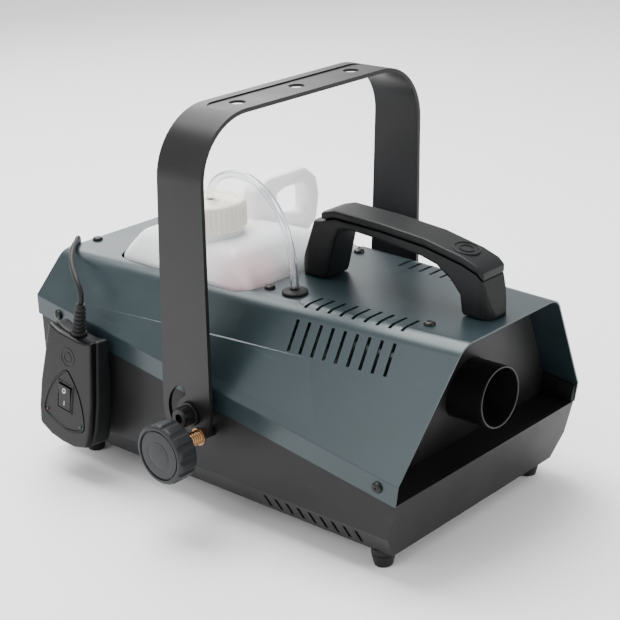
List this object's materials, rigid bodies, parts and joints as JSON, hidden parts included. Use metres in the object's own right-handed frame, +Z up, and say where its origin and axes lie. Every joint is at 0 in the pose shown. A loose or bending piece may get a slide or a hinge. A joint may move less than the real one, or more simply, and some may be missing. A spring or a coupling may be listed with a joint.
{
  "type": "fog machine",
  "caption": "Portable fog machine: black base tray, folded steel cover, carrying handle, hanging yoke with locking knobs, drop-in fluid tank and a wired remote.",
  "frame": {"origin": "on the floor under the middle of the housing, between the feet", "axes": "+Z up, -Y the nozzle end, +X the side without the remote"},
  "size_m": [0.314, 0.4432, 0.2973],
  "materials": {
    "cover_paint": "semi-gloss dark blue-green enamel",
    "base_paint": "satin black",
    "yoke_paint": "satin black",
    "black_steel": "satin black",
    "black_plastic": "satin",
    "knob_plastic": "satin",
    "gloss_black": "satin gloss",
    "rubber": "matte",
    "brass": "satin",
    "aluminium": "cast",
    "steel": "plain",
    "natural_plastic": "milky translucent, smooth",
    "cap_plastic": "smooth",
    "fluid_pink": "clear pink liquid",
    "clear_tube": "clear",
    "board_green": "circuit board"
  },
  "bodies": {
    "housing": {"base_tray": "base_paint", "control_board": "board_green", "cord_coil": "rubber", "cover": "cover_paint", "divider_wall": "steel", "flange_screw_front_left": "black_steel", "flange_screw_front_right": "black_steel", "flange_screw_rear_left": "black_steel", "flange_screw_rear_right": "black_steel", "fluid_tube": "clear_tube", "foot_front_left": "rubber", "foot_front_right": "rubber", "foot_rear_left": "rubber", "foot_rear_right": "rubber", "front_panel": "base_paint", "fuse_holder": "black_plastic", "handle_body": "black_plastic", "handle_cap": "black_plastic", "heater_block": "aluminium", "heater_bracket": "steel", "heater_feed_pipe": "steel", "heater_relay": "black_plastic", "heating_element": "steel", "mains_inlet": "black_plastic", "nozzle_tube": "black_steel", "pivot_bolt_left": "black_steel", "pivot_bolt_right": "black_steel", "pump_body": "black_plastic", "pump_spring": "steel", "rear_panel": "base_paint", "remote_back_shell": "black_plastic", "remote_bezel": "gloss_black", "remote_cord": "rubber", "remote_cord_tail": "rubber", "remote_front_shell": "gloss_black", "remote_plug": "black_plastic", "remote_socket": "steel", "remote_strain_relief": "rubber", "tank": "natural_plastic", "tank_fluid": "fluid_pink", "tank_shelf": "steel", "terminal_block": "natural_plastic", "thermostat": "steel", "top_screw_front_left": "black_steel", "top_screw_front_right": "black_steel", "top_screw_middle_left": "black_steel", "top_screw_middle_right": "black_steel", "top_screw_rear_left": "black_steel", "top_screw_rear_right": "black_steel", "tube_grommet": "rubber", "vapour_jet": "brass"},
    "yoke": {"yoke": "yoke_paint"},
    "knob_left": {"knob_left": "knob_plastic", "knob_stud_left": "brass"},
    "knob_right": {"knob_right": "knob_plastic", "knob_stud_right": "brass"},
    "tank_cap": {"tank_cap": "cap_plastic"},
    "pump_plunger": {"pump_plunger": "steel"},
    "remote_rocker": {"remote_rocker": "gloss_black"}
  },
  "joints": [
    {"name": "yoke_tilt", "type": "hinge", "parent": "housing", "child": "yoke", "pos_m": [0, 0.00834, 0.082], "axis": [1, 0, 0], "range_deg": [-45, 0]},
    {"name": "knob_left_turn", "type": "hinge", "parent": "housing", "child": "knob_left", "pos_m": [-0.157, 0.00103, 0.06632], "axis": [-1, 0, 0], "range_deg": [0, 360]},
    {"name": "knob_right_turn", "type": "hinge", "parent": "housing", "child": "knob_right", "pos_m": [0.157, 0.00103, 0.06632], "axis": [1, 0, 0], "range_deg": [0, 360]},
    {"name": "cap_turn", "type": "hinge", "parent": "housing", "child": "tank_cap", "pos_m": [-0.0325, 0.06284, 0.1895], "axis": [0, 0, 1], "range_deg": [0, 360]},
    {"name": "plunger_slide", "type": "slide", "parent": "housing", "child": "pump_plunger", "axis": [0, 0, 1], "range_m": [0, 0.003], "stiffness_N_per_m": 800, "deforming": ["pump_spring"]},
    {"name": "rocker_tip", "type": "hinge", "parent": "housing", "child": "remote_rocker", "pos_m": [-0.13052, 0.12938, 0.06745], "axis": [0.0097, 0.9903, 0.1388], "range_deg": [0, 7]}
  ]
}
